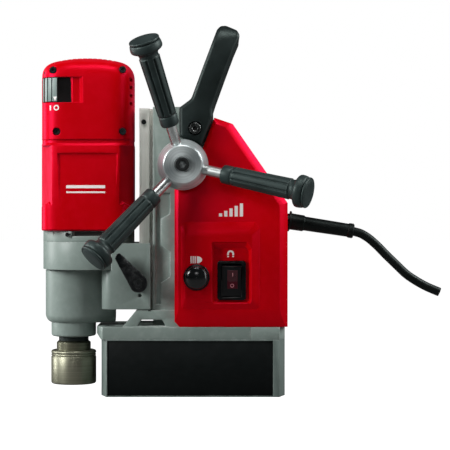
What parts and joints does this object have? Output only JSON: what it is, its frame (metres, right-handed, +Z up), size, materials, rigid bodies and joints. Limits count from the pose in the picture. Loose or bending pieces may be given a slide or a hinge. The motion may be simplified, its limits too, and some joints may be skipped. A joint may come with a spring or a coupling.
{
  "type": "magnetic drill press",
  "caption": "Portable drill press on an electromagnet base: rack-fed slide with spoked handle, geared motor unit with quick-change chuck, control housing, carrying handle and cord.",
  "frame": {"origin": "centre of the magnet base's underside", "axes": "+X from the drill side to the cord side, +Y to the rear, +Z up"},
  "size_m": [0.368, 0.1483, 0.3326],
  "materials": {
    "cast_grey": "satin",
    "red_plastic": "satin",
    "black_panel": "satin",
    "black_rubber": "matte",
    "black_plastic": "gloss",
    "dark_red_lens": "gloss",
    "lever_black": "satin",
    "black_oxide": "black oxide",
    "slide_steel": "ground",
    "hub_steel": "turned",
    "gear_steel": "machined",
    "chuck_steel": "phosphated",
    "bronze": "machined",
    "copper": "enamelled copper",
    "core_iron": "laminated",
    "potting": "cast resin",
    "brush_board": "moulded",
    "carbon": "carbon",
    "circuit_board": "board",
    "seal_rubber": "matte",
    "slider_grey": "moulded"
  },
  "bodies": {
    "press_frame": {"magnet_housing": "cast_grey", "magnet_coil": "copper", "coil_potting": "potting", "magnet_side_plates": "black_panel", "magnet_bolts": "black_oxide", "column_frame": "cast_grey", "gib_strip": "bronze", "gib_screws": "black_oxide", "feed_bushes": "bronze", "carry_handle": "black_rubber", "handle_bolts": "black_oxide", "control_housing_front": "red_plastic", "control_housing_rear": "red_plastic", "housing_screws": "black_oxide", "control_board": "circuit_board", "rocker_bezel": "black_plastic", "button_bezel": "black_plastic", "strain_relief": "black_rubber", "power_cord": "black_rubber"},
    "feed_slide": {"slide_rail": "slide_steel", "feed_rack": "gear_steel", "rail_screws": "black_oxide"},
    "feed_crank": {"pinion_shaft": "slide_steel", "shaft_retaining_ring": "black_oxide", "feed_hub": "hub_steel", "hub_screw": "black_oxide", "feed_spokes": "slide_steel", "feed_grips": "black_rubber", "grip_end_caps": "black_rubber"},
    "drill_head": {"motor_bracket": "cast_grey", "bracket_bolts": "black_oxide", "gearbox_lower": "cast_grey", "gearbox_upper": "cast_grey", "motor_end_plate": "cast_grey", "gearbox_screws": "black_oxide", "motor_can": "red_plastic", "tail_front": "red_plastic", "tail_rear": "red_plastic", "tail_screws": "black_oxide", "stator_core": "core_iron", "field_coils": "copper", "brush_holders": "brush_board", "carbon_brushes": "carbon", "armature_bearings": "gear_steel", "spindle_bearings": "gear_steel", "shaft_seal": "seal_rubber"},
    "rail_clamp": {"clamp_lever": "lever_black", "lever_screw": "black_oxide"},
    "spindle": {"spindle": "chuck_steel", "spindle_gear": "gear_steel", "chuck_body": "chuck_steel"},
    "quick_sleeve": {"chuck_sleeve": "chuck_steel"},
    "reduction_gear": {"intermediate_gear": "gear_steel"},
    "armature": {"armature_shaft": "slide_steel", "armature_core": "core_iron", "commutator": "copper", "cooling_fan": "black_plastic"},
    "motor_switch": {"switch_slider": "slider_grey"},
    "magnet_rocker": {"rocker_switch": "dark_red_lens"},
    "start_button": {"push_button": "black_plastic"}
  },
  "joints": [
    {"name": "feed_travel", "type": "slide", "parent": "press_frame", "child": "feed_slide", "axis": [0, 0, 1], "range_m": [0, 0.08]},
    {"name": "feed_handle_turn", "type": "hinge", "parent": "press_frame", "child": "feed_crank", "pos_m": [-0.0087, 0, 0.2066], "axis": [0, 1, 0], "range_deg": [-1, 382.97]},
    {"name": "height_adjust", "type": "slide", "parent": "feed_slide", "child": "drill_head", "axis": [0, 0, 1], "range_m": [0, 0.066]},
    {"name": "clamp_lever_turn", "type": "hinge", "parent": "drill_head", "child": "rail_clamp", "pos_m": [-0.0482, -0.042, 0.1015], "axis": [0, 1, 0], "range_deg": [-60, 15]},
    {"name": "spindle_turn", "type": "hinge", "parent": "drill_head", "child": "spindle", "pos_m": [-0.1094, 0, 0.06], "axis": [0, 0, 1], "continuous": true},
    {"name": "reduction_gear_turn", "type": "hinge", "parent": "drill_head", "child": "reduction_gear", "pos_m": [-0.09436, 0.01997, 0.11], "axis": [0, 0, 1], "continuous": true},
    {"name": "armature_turn", "type": "hinge", "parent": "drill_head", "child": "armature", "pos_m": [-0.0955, 0, 0.18], "axis": [0, 0, 1], "continuous": true},
    {"name": "chuck_release", "type": "slide", "parent": "spindle", "child": "quick_sleeve", "axis": [0, 0, 1], "range_m": [0, 0.004]},
    {"name": "motor_switch_slide", "type": "slide", "parent": "drill_head", "child": "motor_switch", "axis": [-1, 0, 0], "range_m": [0, 0.0045]},
    {"name": "magnet_rocker_tilt", "type": "hinge", "parent": "press_frame", "child": "magnet_rocker", "pos_m": [0.03455, -0.04, 0.1039], "axis": [1, 0, 0], "range_deg": [-16, 0]},
    {"name": "start_button_press", "type": "slide", "parent": "press_frame", "child": "start_button", "axis": [0, 1, 0], "range_m": [0, 0.0025]}
  ],
  "couplings": [
    {"joint": "feed_handle_turn", "follows": "feed_travel", "rad_per_m": 83.333},
    {"joint": "reduction_gear_turn", "follows": "spindle_turn", "ratio": -2.3333},
    {"joint": "armature_turn", "follows": "spindle_turn", "ratio": 7}
  ]
}
